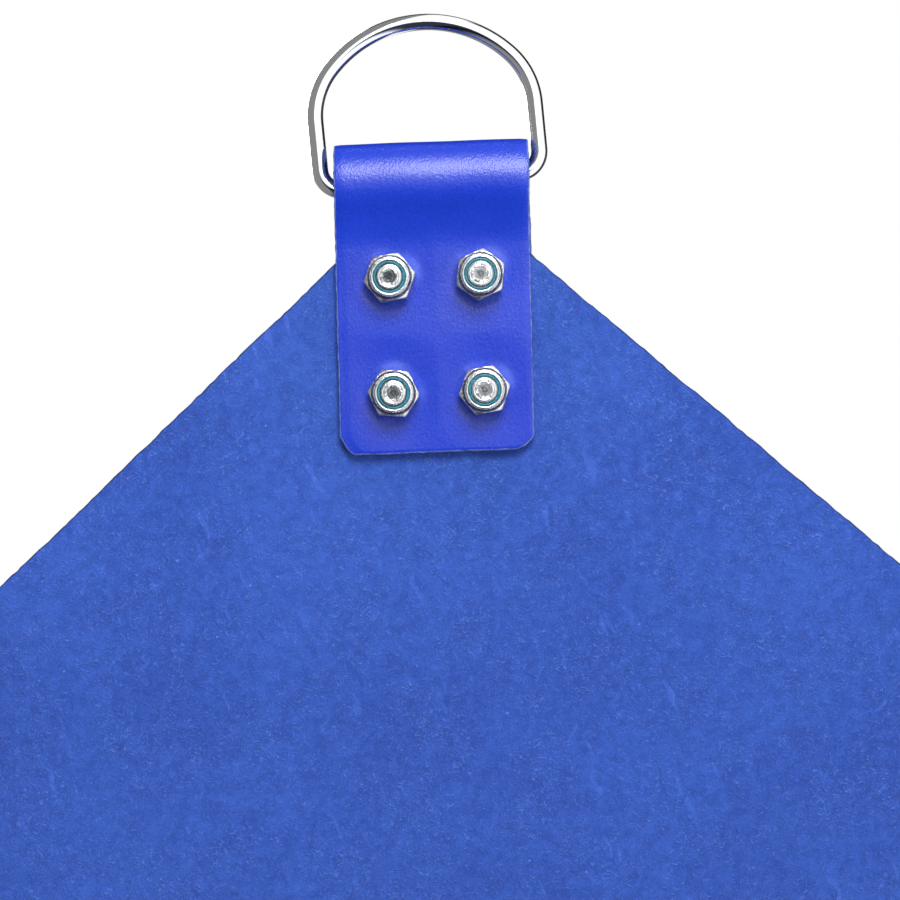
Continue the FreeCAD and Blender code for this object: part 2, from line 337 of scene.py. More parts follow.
def split_leather(name, deep, pale, fleck, coarse):
    material, graph, place = new_finish(name)
    bent = graph.shift(place, graph.noise_vector(place, 5.0, 1.6))
    lumps = graph.noise(place, 55.0, 3.0)
    clusters = graph.rise(graph.noise(place, 16.0, 4.0, 0.6), 0.38, 0.68)
    mottle = graph.noise(bent, 2.6, 5.0, 0.62)
    grain = graph.noise(place, 0.45, 2.0, 0.6)
    nap = strokes(graph, bent, 24, 1.7, 0.36, 0.52, 0.72)
    nap = nap + strokes(graph, bent, 83, 1.4, 0.32, 0.53, 0.73)
    nap = nap + strokes(graph, bent, 146, 1.9, 0.38, 0.52, 0.72)
    nap = nap * (0.6 + clusters * 0.4) * coarse
    smear = strokes(graph, bent, 72, 14.0, 2.2, 0.70, 0.76)
    smear = smear + strokes(graph, bent, 128, 12.0, 1.8, 0.72, 0.78)
    speck = graph.cells(place, 3.4)
    chance = graph.rise(graph.noise(place, 3.4, 0.0), 0.66, 0.70)
    speck = (1.0 - graph.rise(speck, 0.05, 0.11)) * chance
    shade = (mottle - 0.5) * 1.15 + (lumps - 0.5) * 0.6 + (grain - 0.5) * 0.9 + 0.50
    colour = graph.fade(graph.rise(shade, 0.0, 1.0), deep, pale)
    colour = graph.fade(smear * 0.55, colour, pale)
    light_parts = nap * 0.36 + speck * 0.75
    colour = graph.fade(graph.rise(light_parts, 0.0, 1.0), colour, fleck)
    height = mottle * 0.16 + nap * 0.11 * (1.0 - smear) + grain * 0.07
    finish_surface(graph, {
        "Base Color": colour, "Roughness": 0.86 - smear * 0.14, "Specular IOR Level": 0.25,
        "Sheen Weight": 0.12, "Sheen Roughness": 0.5, "Sheen Tint": (0.55, 0.68, 1.0, 1.0)}, height)
    return material


hide_face = split_leather(
    "hide_face", (0.015, 0.047, 0.275), (0.033, 0.097, 0.46), (0.095, 0.19, 0.66), 1.0)
hide_back = split_leather(
    "hide_back", (0.045, 0.095, 0.36), (0.10, 0.19, 0.56), (0.26, 0.38, 0.80), 1.3)
print("split leathers:", [hide_face.name, hide_back.name])

# %% [markdown]
# The straps are cut from coated grain leather: a film of pigment over fine pores. It is smoother,
# more saturated, and it shines where it bends over the ring. Beside chosen flats of each nut the face
# is painted paler, a painted reflection of light off the nut's flats, read from a mesh attribute.
# The cut edges are fibre, partly painted dark for shade and pale for highlight; each leather has its own.

# %% Coated leather of the straps


def coated_leather(name):
    material, graph, place = new_finish(name)
    nut_glint = graph.add("ShaderNodeAttribute", {"attribute_name": "nut_glint"}, output=2)
    bent = graph.shift(place, graph.noise_vector(place, 1.2, 0.25))
    pores = graph.cells(bent, 0.62)
    leaning = graph.add("ShaderNodeMapping", {"vector_type": "TEXTURE"}, {
        "Vector": bent, "Rotation": (0, math.radians(125), 0), "Scale": (0.9, 0.36, 0.36)})
    grain = graph.noise(leaning, 1.0, 2.0)
    clouds = graph.noise(place, 9.0, 3.0)
    scuff = graph.rise(graph.noise(place, 3.0, 5.0, 0.7), 0.60, 0.80)
    shade = (grain - 0.5) * 0.5 + (clouds - 0.5) * 0.5 + 0.5
    colour = graph.fade(graph.rise(shade, 0.1, 0.9), (0.002, 0.024, 0.385), (0.005, 0.036, 0.48))
    # Painted reflection: paler pigment where the mesh attribute marks light thrown off the nuts' flats; the
    # scuffs are real wear.
    colour = graph.fade(nut_glint * (0.3 + grain * 0.5) + scuff * 0.04, colour, (0.13, 0.18, 0.64))
    height = grain * 0.055 + pores * 0.025 + clouds * 0.05
    finish_surface(graph, {
        "Base Color": colour, "Roughness": 0.24 + grain * 0.08 - nut_glint * 0.04,
        "Specular IOR Level": 0.42}, height)
    return material


def cut_edge(name, dark, light, share):
    """Raw edge, layers of fibre: the dark is partly painted shade in the gaps, the pale partly a painted
    highlight.
    """
    material, graph, place = new_finish(name)
    fibre = graph.noise(place, 0.22, 3.0, 0.7)
    patch = graph.noise(place, 1.8, 2.0)
    share = graph.rise((fibre - 0.5) * 1.2 + (patch - 0.5) * 0.9 + share, 0.0, 1.0)
    finish_surface(graph, {
        "Base Color": graph.fade(share, dark, light), "Roughness": 0.88,
        "Specular IOR Level": 0.2}, fibre * 0.12)
    return material


strap_face = coated_leather("strap_face")
strap_flesh = split_leather(
    "strap_flesh", (0.045, 0.075, 0.34), (0.10, 0.16, 0.55), (0.26, 0.34, 0.80), 1.2)
# The strap's pale rim is partly a painted highlight of an edge that catches the light.
strap_edge = cut_edge("strap_edge", (0.012, 0.028, 0.17), (0.20, 0.27, 0.68), 0.45)
# The panel's rim is dark navy, partly painted shade of a rim seen almost edge-on.
hide_edge = cut_edge("hide_edge", (0.008, 0.020, 0.10), (0.035, 0.08, 0.33), 0.35)
print("strap and edges:", [m.name for m in (strap_face, strap_flesh, strap_edge, hide_edge)])

# %% [markdown]
# ## Metal and nylon finishes
#
# The rings are chrome: almost a mirror, with faint draw marks from the wire. Nuts and bolts are
# bright zinc, which is duller and has turning marks round the axis, some painted dark as painted shade in
# their cuts.
# Those marks follow the part and not the room, so their pattern reads a `turning` attribute, in
# millimetres along the part's profile, instead of a position. Another attribute paints rows dark:
# painted shade in grooves and at edges, and a darker middle on the bolt's rough sheared end. `bright`
# says how much of that darkness a bolt lacks, so no two ends are alike.

# %% Metals and nylon


def chrome(name):
    material, graph, place = new_finish(name)
    haze = graph.noise(place, 4.0, 3.0)
    marks = graph.noise(place, 0.35, 2.0)
    colour = graph.fade(haze, (0.90, 0.91, 0.93), (0.96, 0.97, 0.98))
    finish_surface(graph, {
        "Base Color": colour, "Metallic": 1.0,
        "Roughness": 0.035 + haze * 0.05}, marks * 0.004 + haze * 0.012)
    return material


def zinc(name):
    material, graph, place = new_finish(name)
    along = graph.add("ShaderNodeAttribute", {"attribute_name": "turning"}, output=2)
    groove_shade_and_dark_end = graph.add("ShaderNodeAttribute", {"attribute_name": "groove_shade_and_dark_end"}, output=2)
    bright = graph.add("ShaderNodeAttribute", {"attribute_name": "bright"}, output=2)
    rings = graph.add("ShaderNodeTexNoise", {"noise_dimensions": "1D"}, {
        "W": along, "Scale": 4.5, "Detail": 3.0})
    cuts = graph.add("ShaderNodeTexNoise", {"noise_dimensions": "1D"}, {
        "W": along, "Scale": 1.7, "Detail": 1.0})
    spots = graph.noise(place, 0.5, 4.0, 0.65)
    stain = graph.rise(graph.noise(place, 1.7, 4.0, 0.6), 0.50, 0.72)
    bruise = graph.noise(place, 2.3, 2.0)
    grit = graph.rise(graph.noise(place, 0.42, 3.0, 0.7), 0.40, 0.56)
    # Painted shade: rows marked dark (grooves, edges and the bolt's sheared end) turn nearly black, broken by
    # grit, less so on a bright bolt.
    patch = graph.rise(groove_shade_and_dark_end + (graph.noise(place, 1.3, 3.0) - 0.5) * 1.1, 0.46, 0.58)
    dark = graph.rise(groove_shade_and_dark_end * 0.5 + grit * 0.5, 0.42, 0.72)
    # Painted shade in the cuts of the turning marks: thin dark lines.
    line = 1.0 - graph.rise((cuts - 0.5) * (cuts - 0.5), 0.0, 0.0012)
    line = line * graph.rise(spots, 0.38, 0.52)
    colour = graph.fade(spots, (0.82, 0.86, 0.89), (0.98, 0.98, 0.98))
    colour = graph.fade(graph.rise(bruise, 0.52, 0.70) * 0.35, colour, (0.95, 0.80, 0.88))
    colour = graph.fade(stain * 0.25, colour, (0.50, 0.56, 0.60))
    colour = graph.fade(line * 0.7, colour, (0.16, 0.19, 0.20))
    colour = graph.fade(patch * dark * (0.95 - bright), colour, (0.03, 0.045, 0.06))
    height = rings * 0.09 + spots * 0.02 - line * 0.05 - patch * grit * 0.25
    finish_surface(graph, {
        "Base Color": colour, "Metallic": 1.0,
        "Roughness": 0.17 + spots * 0.12 + stain * 0.10 + patch * 0.3}, height)
    return material


def nylon(name):
    material, graph, place = new_finish(name)
    marks = graph.noise(place, 0.6, 3.0)
    finish_surface(graph, {
        "Base Color": graph.fade(graph.rise(marks, 0.3, 0.7), (0.008, 0.09, 0.13), (0.02, 0.29, 0.42)),
        "Roughness": 0.34 + marks * 0.12, "Subsurface Weight": 0.1,
        "Subsurface Radius": (0.001, 0.001, 0.001)}, marks * 0.03)
    return material


ring_chrome = chrome("ring_chrome")
nut_zinc = zinc("nut_zinc")
bolt_zinc = zinc("bolt_zinc")
insert_nylon = nylon("insert_nylon")
print("metal finishes:", [m.name for m in (ring_chrome, nut_zinc, bolt_zinc, insert_nylon)])

# %% [markdown]
# ## From a middle surface to a piece of leather
#
# A sheet of leather is a middle surface with a thickness. A Solidify modifier could add that, but
# here the face also has to sink under the nuts while the inside stays flat, and the cut edge is
# ragged and slightly rounded. So one helper builds the closed skin itself: a face grid, a back
# grid, and a rim of narrow strips that carries the edge's round and its unevenness.

# %% The leather helper
rng = np.random.default_rng(7)


def add_object(name, vertices, faces, materials, slots=None):
    mesh = bpy.data.meshes.new(name)
    mesh.from_pydata([tuple(v) for v in vertices], [], faces)
    for material in materials:
        mesh.materials.append(material)
    if slots is not None:
        mesh.polygons.foreach_set("material_index", slots)
    mesh.polygons.foreach_set("use_smooth", [True] * len(mesh.polygons))
    mesh.update()
    thing = bpy.data.objects.new(name, mesh)
    bpy.context.scene.collection.objects.link(thing)
    return thing


def unit(vectors):
    return vectors / np.linalg.norm(vectors, axis=-1, keepdims=True)


def wander(count, knots, size):
    """Closed line of smooth random values, with one knot every few points."""
    values = rng.normal(0, size, max(4, knots))
    where = np.arange(count) / count * len(values)
    first = where.astype(int)
    share = where - first
    share = share * share * (3 - 2 * share)
    return values[first % len(values)] * (1 - share) + values[(first + 1) % len(values)] * share


def leather(name, middle, thickness, edge_round, ragged, materials, relief=None, nut_glint=None):
    """Closed sheet about a grid of points. Its face is on the side where columns turn into rows."""
    rows, columns = middle.shape[:2]
    facing = unit(np.cross(np.gradient(middle, axis=1), np.gradient(middle, axis=0)))
    raised = np.zeros((rows, columns)) if relief is None else relief
    face = middle + facing * (thickness / 2 + raised)[..., None]
    back = middle - facing * (thickness / 2)
    ring = [(0, c) for c in range(columns)]
    ring += [(r, columns - 1) for r in range(1, rows)]
    ring += [(rows - 1, c) for c in range(columns - 2, -1, -1)]
    ring += [(r, 0) for r in range(rows - 2, 0, -1)]
    at = tuple(np.array(ring).T)
    line = middle[at]
    outward = unit(np.cross(np.roll(line, -1, 0) - np.roll(line, 1, 0), facing[at]))
    count = len(ring)
    wobble = wander(count, count, 0.8 * ragged) + wander(count, count // 7, ragged)
    face[at] += outward * wobble[:, None]
    back[at] += outward * (0.7 * wobble)[:, None]
    half = thickness / 2
    profile = [(0.70, 1 - 0.3 * edge_round / half), (1.0, 1 - edge_round / half), (1.0, 0.3),
               (1.0, -0.3), (1.0, -1 + edge_round / half), (0.70, -1 + 0.3 * edge_round / half)]
    vertices = [face.reshape(-1, 3), back.reshape(-1, 3)]
    for out, across in profile:
        fray = wander(count, count // 2, 0.6 * ragged)
        reach = out * edge_round + wobble * (0.85 + 0.15 * across) + fray
        lift = half * across + (raised[at] if across > 0 else 0)
        vertices.append(line + outward * reach[:, None] + facing[at] * np.reshape(lift, (-1, 1)))
    index = np.arange(rows * columns).reshape(rows, columns)
    quads = np.stack([index[:-1, :-1], index[:-1, 1:], index[1:, 1:], index[1:, :-1]], -1).reshape(-1, 4)
    faces = [quads, quads[:, ::-1] + rows * columns]
    rims = [index[at]]
    rims += [2 * rows * columns + step * count + np.arange(count) for step in range(len(profile))]
    rims += [index[at] + rows * columns]
    for near, far in zip(rims, rims[1:]):
        faces.append(np.stack([near, far, np.roll(far, -1), np.roll(near, -1)], -1))
    slots = [0] * len(quads) + [1] * len(quads) + [2] * (count * (len(rims) - 1))
    thing = add_object(name, np.concatenate(vertices), np.concatenate(faces).tolist(), materials, slots)
    # The painted reflection of the nuts' flats goes on the face as a point attribute.
    if nut_glint is not None:
        values = np.zeros(len(thing.data.vertices), np.float32)
        values[:rows * columns] = nut_glint.reshape(-1)
        thing.data.attributes.new("nut_glint", "FLOAT", "POINT").data.foreach_set("value", values)
    print(f"{name}: {len(thing.data.polygons)} faces")
    return thing


# %% [markdown]
# ## The panel
#
# The panel hangs from its three bolted corners. Below the bib it bows back round the wearer, and
# soft flutes grow towards the hem, as the frame has it. A cloth simulation would also find such a
# hang, but this hide is stiff and the bolted corners must stay exactly where the frame holds them,
# so the drop is a formula: how far the middle of the hide lies behind the bolts at each x and z.

# %% Shape of the hanging hide
bib_slope = math.radians(42)
bib_top_half = 13.2 * mm
side_x, panel_top, hem = panel_high.x, panel_high.z, panel_low.z
waist_round, hem_round = 20 * mm, 40 * mm
margin = 5 * mm
waist_tab_z = places["right"].translation.z
bow_half = side_x - (panel_top - strap_end + margin) * math.cos(side_turn)
bow_span = (strap_end - margin, waist_tab_z + strap_width / 2 + margin)
flute_span = (waist_tab_z - 130 * mm, hem - 230 * mm)
flute_depth, flute_length, flute_shift = 5.5 * mm, 205 * mm, 24 * mm


def smooth(value, low, high):
    share = np.clip((value - low) / (high - low), 0, 1)
    return share * share * (3 - 2 * share)


def half_width(z, inset):
    """Half of the panel's width at height z, for its outline drawn this far inside."""
    corner = side_x - waist_round
    middle = waist_z + waist_round * (math.tan(bib_slope) - 1 / math.cos(bib_slope))
    bib = bib_top_half + (panel_top - z) / math.tan(bib_slope) - inset / math.sin(bib_slope)
    turn = np.clip(z - middle, 0, waist_round - inset)
    side = corner + np.sqrt((waist_round - inset) ** 2 - turn**2)
    low = np.clip(hem + hem_round - z, 0, hem_round - inset)
    bottom = side_x - hem_round + np.sqrt((hem_round - inset) ** 2 - low**2)
    meet = middle + (waist_round - inset) * math.cos(bib_slope)
    return np.where(z > meet, bib, np.minimum(side, bottom))


def depth(x, z):
    """How far the middle of the hide lies behind the bolted corner of the bib."""
    slope = math.tan(side_turn)
    reach = np.abs(x)
    bow = np.where(reach > bow_half, reach - bow_half / 2, reach**2 / (2 * bow_half)) * slope
    flutes = np.cos(2 * math.pi * (x - flute_shift) / flute_length)
    flutes += 0.35 * np.sin(math.pi * x / flute_length)
    grown = smooth(z, *flute_span)
    return bow * smooth(z, *bow_span) + flute_depth * flutes * grown


waist_z = panel_top - (side_x - bib_top_half) * math.tan(bib_slope)
print(f"panel {2 * side_x / mm:.1f} mm across, bib {(panel_top - waist_z) / mm:.1f} mm tall")

# %% [markdown]
# A real hide is never as smooth as a formula. Slow swells, each under half a millimetre, break up the
# reflections, and they die away under the straps, where the bolts clamp the hide flat. The rows lie
# a millimetre apart in the bib, which is looked at most closely, and wider below.

# %% Panel


swell_waves = ((20, 61, 0.30), (75, 83, 0.35), (130, 47, 0.18), (160, 118, 0.45), (48, 34, 0.08))
fine_below = -215 * mm
fine_row, coarse_row = 1.0 * mm, 8 * mm
panel_columns = 105


def clamped(x, z):
    """0 where a strap clamps the hide, rising to 1 away from the straps."""
    free = smooth(np.maximum(np.abs(x) - strap_width / 2, strap_end - z), 0, 45 * mm)
    beside = smooth(np.abs(z - waist_tab_z) - strap_width / 2, 0, 40 * mm)
    inside = smooth(bow_half - np.abs(x), 0, 40 * mm)
    return free * np.maximum(beside, inside)


def swells(x, z):
    """Slow random-looking waves: each is a direction, a length and a height."""
    total = 0
    for turn, length, size in swell_waves:
        angle = math.radians(turn)
        across = (x * math.cos(angle) + z * math.sin(angle)) / (length * mm)
        bent = across + 0.35 * np.sin(2.1 * (z * math.cos(angle) - x * math.sin(angle)) / (length * mm))
        total = total + size * mm * np.sin(2 * math.pi * bent + turn)
    return total


def make_panel():
    edge = 0.35 * mm
    corner = [hem + hem_round - (hem_round - edge) * math.cos(math.radians(a)) for a in range(0, 90, 5)]
    heights = np.concatenate([corner, np.arange(hem + hem_round, fine_below, coarse_row),
                              np.arange(fine_below, panel_top - edge, fine_row), [panel_top - edge]])
    near_edge = np.array([0, 0.5, 1.2, 2.4]) * mm
    middle = np.linspace(-1, 1, panel_columns)
    grid = []
    for z in heights:
        half = float(half_width(z, edge))
        x = np.concatenate([near_edge - half, middle * (half - 4 * mm), half - near_edge[::-1]])
        y = depth(x, z) + swells(x, z) * clamped(x, z)
        grid.append(np.stack([x, y, np.full_like(x, z)], -1))
    return leather("apron_leather", np.array(grid), hide_thickness, edge, 0.09 * mm,
                   (hide_face, hide_back, hide_edge))


panel = make_panel()

# %% [markdown]
# ## The folded straps
#
# Each strap is one piece of leather folded over the ring's bar, with the panel's edge between its
# two legs. Its middle line is arcs: a tight round top over the bar, flatter sides, and a hollow neck
# that brings the legs together. The strap is that line swept sideways. The bottom corners are
# clipped by hand, so no two are quite alike, and the back leg is a hair off the front one.

# %% Middle line of the strap
loop_top_round, loop_side_round, loop_neck_round = 4.9 * mm, 13.0 * mm, 30.0 * mm
ring_wire = 4.0 * mm
loop_half_depth = ring_wire / 2 + 2.4 * mm + strap_thickness / 2
leg = (hide_thickness + strap_thickness) / 2
step = 0.75 * mm


def strap_line(end):
    """Points (y, z) of the middle line from the front leg's end, over the bar, to the back leg's."""
    top_z = strap_top - strap_thickness - strap_thickness / 2 - loop_top_round + strap_thickness
    shift = loop_side_round - loop_top_round
    shoulder = math.acos((loop_side_round - loop_half_depth) / shift)
    side_y, side_z = loop_half_depth - loop_side_round, top_z - shift * math.sin(shoulder)
    radii = loop_side_round + loop_neck_round
    neck = math.acos((leg + loop_neck_round - side_y) / radii)
    neck_y, neck_z = side_y + radii * math.cos(neck), side_z - radii * math.sin(neck)
    arcs = [(0, top_z, loop_top_round, math.pi / 2, shoulder),
            (side_y, side_z, loop_side_round, shoulder, -neck),
            (neck_y, neck_z, loop_neck_round, math.pi - neck, math.pi)]
    half = []
    for y, z, radius, start, stop in arcs:
        pieces = max(4, round(abs(stop - start) * radius / step))
        for turn in np.linspace(start, stop, pieces, endpoint=False):
            half.append((y + radius * math.cos(turn), z + radius * math.sin(turn)))
    straight = np.linspace(neck_z, end, round((neck_z - end) / step))
    half += [(leg, z) for z in straight]
    return np.array([(-y, z) for y, z in half[:0:-1]] + half)


line = strap_line(strap_end)

# %% [markdown]
# Tightening a bolt pulls its nut into the leather. Round the nut the face drops by almost half a
# millimetre, and it eases back up over the next ten. The same happens under the round heads at the
# back. Beside one or two flats of each nut the face is also painted paler, a painted reflection of light off
# the flat.

# %% Straps
bolt_columns, bolt_rows = 22 * mm, 28 * mm
first_bolt = -23.6 * mm
seats = [(x, z) for z in (first_bolt, first_bolt - bolt_rows) for x in (-bolt_columns / 2, bolt_columns / 2)]
nut_corner, head_radius, sink = 6.414 * mm, 7.275 * mm, 0.45 * mm
# Directions in degrees round each nut of its painted reflection: strongest along the first, weaker along the
# second.
glint_angles = ((25, 117), (49, 139), (86, 0), (36, 120))
steep_slope, wide_slope, steep_share = 2.2 * mm, 10 * mm, 0.4


def press_and_glint(x, z, on_front):
    """Relief of a face at x, z from the four fasteners that press into it, and a painted reflection of the
    nuts' flats.
    """
    radius = nut_corner if on_front else head_radius
    relief, nut_glint = np.zeros_like(x), np.zeros_like(x)
    for (seat_x, seat_z), glint_turns in zip(seats, glint_angles):
        away = np.hypot(x - seat_x, z - seat_z) - radius
        dip = steep_share * (1 - smooth(away, -0.1 * mm, steep_slope))
        dip += (1 - steep_share) * (1 - smooth(away, 0, wide_slope))
        relief = np.minimum(relief, -sink * dip)
        # Painted reflection: a thin pale crescent just outside the nut, towards the given flats.
        turn = np.arctan2(z - seat_z, x - seat_x)
        for angle, strength in zip(glint_turns, (1.0, 0.45)):
            toward = 0.5 + 0.5 * np.cos(turn - math.radians(angle))
            nut_glint += strength * np.exp(-((away - 0.6 * mm) / (1.1 * mm)) ** 2) * toward**11
    return relief, np.clip(nut_glint, 0, 1)


def make_strap(side, clips, offset, skew):
    edge = 0.38 * mm
    path = strap_line(strap_end + edge)
    front = np.arange(len(path)) < len(path) // 2
    steps = np.concatenate([[0], np.linalg.norm(np.diff(path, axis=0), axis=1).cumsum()])
    phase = rng.uniform(0, 6, 4)
    near_edge = np.array([0, 0.4, 1.0]) * mm
    middle = np.linspace(-1, 1, 61)
    grid, relief, nut_glint = [], [], []
    for (y, z), on_front, along in zip(path, front, steps):
        drop = min(along, steps[-1] - along)
        halves = []
        for tall, wide in clips[:2] if on_front else clips[2:]:
            into = float(np.clip(1 - drop / (tall * mm), 0, 1))
            cut = wide * mm * (0.55 * into + 0.45 * (1 - math.sqrt(1 - into**2)))
            halves.append(strap_width / 2 - edge - cut)
        shift = offset * mm * smooth(along, steps[-1] * 0.35, steps[-1] * 0.8)
        shift += skew * mm * (strap_top - z) / (strap_top - strap_end)
        low, high = -halves[0], halves[1]
        inner = (low + high) / 2 + middle * ((high - low) / 2 - 1.8 * mm)
        x = np.concatenate([low + near_edge, inner, high - near_edge[::-1]]) + shift
        level = np.full_like(x, z)
        press, glint = press_and_glint(x, level, on_front)
        on_leg = 1 - smooth(z, -15 * mm, -7 * mm)
        press, glint = press * on_leg, glint * on_leg
        waves = 0.07 * mm * np.sin(x / (6.3 * mm) + phase[0]) * np.sin(along / (9.5 * mm) + phase[1])
        waves += 0.05 * mm * np.sin(x / (3.9 * mm) + along / (7.1 * mm) + phase[2])
        droop = 0.12 * mm * (1 - smooth(np.minimum(x - low, high - x), 0, 1.6 * mm))
        grid.append(np.stack([x, np.full_like(x, y), level], -1))
        relief.append(press + waves - droop)
        nut_glint.append(glint)
    points = np.array(grid)
    matrix = np.array(places[side])
    points = points @ matrix[:3, :3].T + matrix[:3, 3]
    return leather(f"{side}_strap", points, strap_thickness, edge, 0.05 * mm,
                   (strap_face, strap_flesh, strap_edge), np.array(relief), np.array(nut_glint))


clips_by_side = {
    "neck": ((4.5, 3.3), (2.9, 4.1), (3.4, 3.8), (4.0, 3.5)),
    "left": ((3.6, 4.0), (4.3, 3.4), (3.9, 3.2), (3.2, 3.9)),
    "right": ((4.1, 3.6), (3.4, 3.2), (4.4, 3.5), (3.7, 4.1)),
}
straps = {side: make_strap(side, clips_by_side[side], offset, skew)
          for side, offset, skew in zip(hangers, (0.55, -0.4, 0.35), (-0.95, 0.5, -0.4))}

# %% [markdown]
# ## Geometry Nodes for the rings and fasteners
#
# A D-ring is a round section that follows a path, and the twelve nuts, inserts and bolts are three
# things repeated, which is what Geometry Nodes are for. A tree is made once with named inputs. Its
# inputs are set on the modifier by each socket's identifier before anything is evaluated, and the
# result is turned into a plain mesh, so nothing live is left on the piece.

# %% Helpers for Geometry Nodes


def new_tree(name, inputs):
    """Geometry node tree with these extra inputs: {name: socket type}."""
    tree = bpy.data.node_groups.new(name, "GeometryNodeTree")
    tree.interface.new_socket("Geometry", in_out="INPUT", socket_type="NodeSocketGeometry")
    identifiers = {}
    for label, kind in inputs.items():
        identifiers[label] = tree.interface.new_socket(label, in_out="INPUT", socket_type=kind).identifier
    tree.interface.new_socket("Geometry", in_out="OUTPUT", socket_type="NodeSocketGeometry")
    graph = Graph(tree)
    entry = graph.add("NodeGroupInput").socket.node
    given = {label: Value(graph, entry.outputs[label]) for label in ("Geometry", *inputs)}
    return graph, given, identifiers


def grow(name, vertices, edges, graph, identifiers, values, attributes=None):
    """Runs a tree on a few points and keeps what it grows as a plain mesh at the origin."""
    seed = bpy.data.meshes.new(name + "_seed")
    seed.from_pydata(vertices, edges, [])
    for label, rows in (attributes or {}).items():
        seed.attributes.new(label, "FLOAT_VECTOR", "POINT").data.foreach_set("vector", np.ravel(rows))
    source = bpy.data.objects.new(name + "_seed", seed)
    bpy.context.scene.collection.objects.link(source)
    modifier = source.modifiers.new("grow", "NODES")
    modifier.node_group = graph.tree
    for label, value in values.items():
        modifier[identifiers[label]] = value
    depsgraph = bpy.context.evaluated_depsgraph_get()
    mesh = bpy.data.meshes.new_from_object(source.evaluated_get(depsgraph), depsgraph=depsgraph)
    bpy.data.objects.remove(source)
    mesh.name = name
    thing = bpy.data.objects.new(name, mesh)
    bpy.context.scene.collection.objects.link(thing)
    print(f"{name}: {len(mesh.polygons)} faces")
    return thing


# %% [markdown]
# The ring's path is a straight bar, two short legs and an arch of three arcs, bent from wire. It
# sits a little askew in its strap. The section is a circle with thirty-six sides.

# %% D-rings
ring_half = strap_width / 2 + 1.25 * mm + ring_wire / 2
ring_crown = 37.3 * mm + ring_wire / 2
ring_leg = 17.1 * mm
ring_bend = 3.5 * mm + ring_wire / 2
ring_skew = math.radians(3.6)
shoulder_share = 0.83


def ring_path():
    rise = ring_crown - ring_leg
    shoulder = shoulder_share * rise
    arch = ((ring_half - shoulder) ** 2 + rise**2 - shoulder**2) / (2 * (rise - shoulder))
    meet = math.degrees(math.atan2(arch - rise, ring_half - shoulder))
    arcs = [
        (ring_half - ring_bend, ring_bend, ring_bend, -90, 0),
        (ring_half - shoulder, ring_leg, shoulder, 0, meet),
        (0, ring_crown - arch, arch, meet, 180 - meet),
        (shoulder - ring_half, ring_leg, shoulder, 180 - meet, 180),
        (ring_bend - ring_half, ring_bend, ring_bend, 180, 270),
    ]
    points = []
    for x, z, radius, start, stop in arcs:
        steps = max(6, round(abs(math.radians(stop - start)) * radius / (0.6 * mm)))
        for turn in np.radians(np.linspace(start, stop, steps + 1)):
            points.append(Vector((x + radius * math.cos(turn), 0, z + radius * math.sin(turn))))
    bar = [Vector((x, 0, 0)) for x in np.linspace(ring_bend - ring_half, ring_half - ring_bend, 40)[1:-1]]
    points += bar
    return [p for p, q in zip(points, points[1:] + points[:1]) if (p - q).length > 0.01 * mm]


graph, given, ring_inputs = new_tree("bent_wire", {
    "Wire": "NodeSocketFloat", "Sides": "NodeSocketInt", "Finish": "NodeSocketMaterial"})
path = graph.add("GeometryNodeMeshToCurve", None, {0: given["Geometry"]})
section = graph.add("GeometryNodeCurvePrimitiveCircle", {"mode": "RADIUS"}, {
    "Resolution": given["Sides"], "Radius": given["Wire"] * 0.5})
wire = graph.add("GeometryNodeCurveToMesh", None, {"Curve": path, "Profile Curve": section})
wire = graph.add("GeometryNodeSetShadeSmooth", None, {0: wire})
wire = graph.add("GeometryNodeRealizeInstances", None, {0: wire})
wire = graph.add("GeometryNodeSetMaterial", None, {0: wire, "Material": given["Finish"]})
graph.add("NodeGroupOutput", None, {0: wire})
ring_tree = graph


def make_ring(side):
    matrix = places[side] @ Matrix.Rotation(-ring_skew, 4, "Y")
    if side == "right":
        matrix = places[side] @ Matrix.Rotation(math.pi, 4, "Z") @ Matrix.Rotation(-ring_skew, 4, "Y")
    points = [matrix @ p for p in ring_path()]
    edges = [(i, (i + 1) % len(points)) for i in range(len(points))]
    return grow(f"{side}_d_ring", points, edges, ring_tree, ring_inputs,
                {"Wire": ring_wire, "Sides": 36, "Finish": ring_chrome})


rings = {side: make_ring(side) for side in hangers}

# %% [markdown]
# ## Nuts, inserts and bolts
#
# All three are turned parts, so each is a profile spun round an axis, row by row. The nut's rows
# also know the six flats: a row's radius may change with the angle, and where the chamfer's cone
# meets a flat it leaves the curved scallop that every machined nut has. `turning` counts the
# millimetres along the profile, for the tool marks.

# %% Turned parts
around = 96
angles = np.arange(around) * 2 * math.pi / around
bolt_radius = 3.175 * mm
bore = bolt_radius + 0.05 * mm
insert_radius = bore + 1.1 * mm
head_height = 3.8 * mm


def turned(name, rows, material):
    """Closed skin from rows of (radius, height, painted darkness), each a number or one value for each angle.
    """
    vertices, marks, row_shade, along = [], [], [], 0.0
    before = None
    for row in rows:
        radius, level, groove_shade_and_dark_end = [np.broadcast_to(value, around) for value in (*row, 0.0)[:3]]
        here = Vector((radius.mean(), level.mean()))
        along += (here - (before or here)).length
        before = here
        vertices.append(np.stack([radius * np.cos(angles), radius * np.sin(angles), level], -1))
        marks += [along / mm] * around
        row_shade += list(groove_shade_and_dark_end)
    faces = []
    for index in range(len(rows) - 1):
        near = index * around + np.arange(around)
        far = near + around
        faces.append(np.stack([near, np.roll(near, -1), np.roll(far, -1), far], -1))
    thing = add_object(name, np.concatenate(vertices), np.concatenate(faces).tolist(), [material])
    thing.data.attributes.new("turning", "FLOAT", "POINT").data.foreach_set("value", marks)
    thing.data.attributes.new("groove_shade_and_dark_end", "FLOAT", "POINT").data.foreach_set("value", row_shade)
    mesh = bmesh.new()
    mesh.from_mesh(thing.data)
    bmesh.ops.remove_doubles(mesh, verts=mesh.verts, dist=1e-6)
    bmesh.ops.recalc_face_normals(mesh, faces=mesh.faces)
    mesh.to_mesh(thing.data)
    mesh.free()
    thing.data.set_sharp_from_angle(angle=math.radians(32))
    return thing


